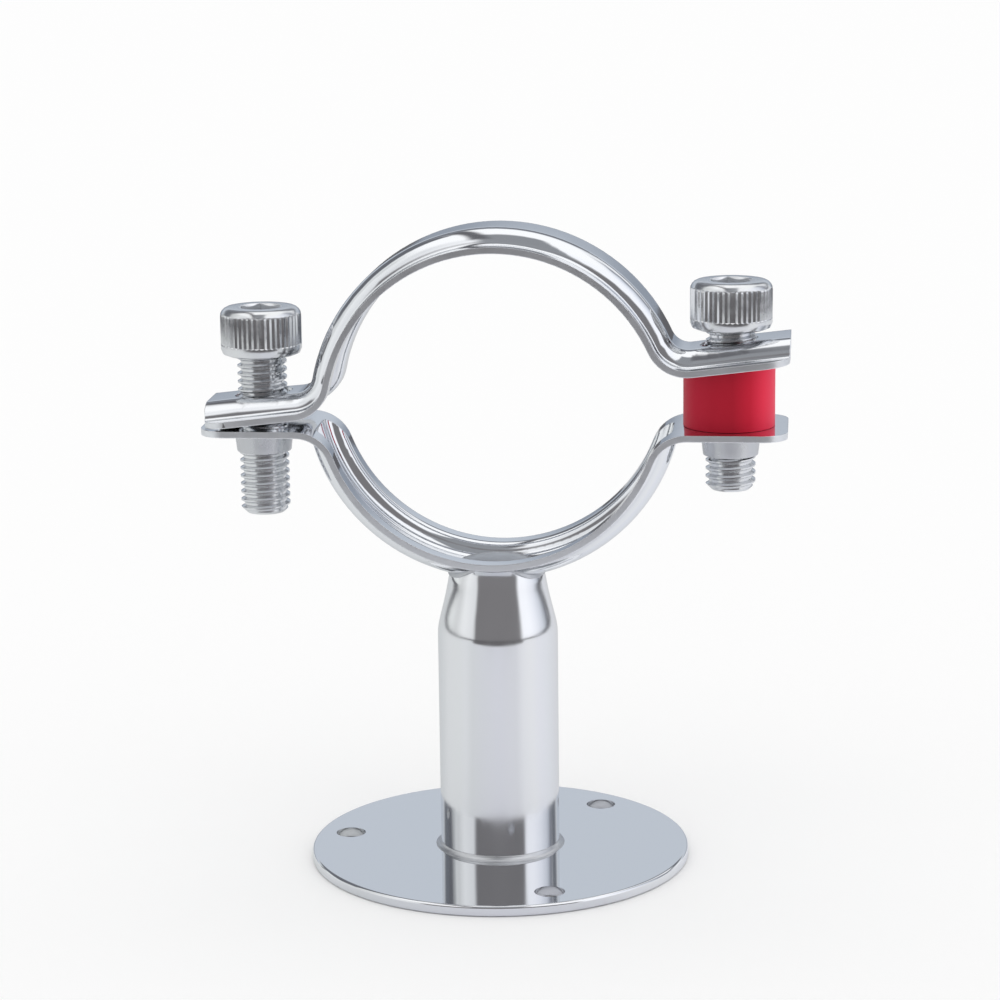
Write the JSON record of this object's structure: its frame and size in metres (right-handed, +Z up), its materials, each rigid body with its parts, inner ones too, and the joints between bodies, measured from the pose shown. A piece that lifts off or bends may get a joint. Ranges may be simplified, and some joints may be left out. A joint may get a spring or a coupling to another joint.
{
  "type": "pipe clamp with base plate",
  "caption": "Two-part steel pipe clamp on a short necked post with a round screw-down base plate, closed by two socket screws, one with a red spacer sleeve.",
  "frame": {"origin": "centre of the base plate's underside", "axes": "+Z up along the post, +X towards the screw with the sleeve, Y along the clamped pipe"},
  "size_m": [0.0909, 0.06, 0.1008],
  "materials": {
    "polished_steel": "mirror polished stainless steel",
    "screw_steel": "bright turned steel",
    "weld_steel": "satin weld metal",
    "red_plastic": "smooth red plastic"
  },
  "bodies": {
    "stand": {"base_plate": "polished_steel", "post_tube": "polished_steel", "base_weld": "weld_steel", "neck_weld": "weld_steel", "plug_weld": "weld_steel", "lower_band": "polished_steel", "upper_band": "polished_steel", "spacer_sleeve": "red_plastic"},
    "left_screw": {"left_screw": "screw_steel"},
    "right_screw": {"right_screw": "screw_steel"}
  },
  "joints": [
    {"name": "left_screw_travel", "type": "slide", "parent": "stand", "child": "left_screw", "axis": [0, 0, 1], "range_m": [-0.0051, 0.0142]},
    {"name": "right_screw_travel", "type": "slide", "parent": "stand", "child": "right_screw", "axis": [0, 0, 1], "range_m": [-0.001, 0.0099]}
  ]
}
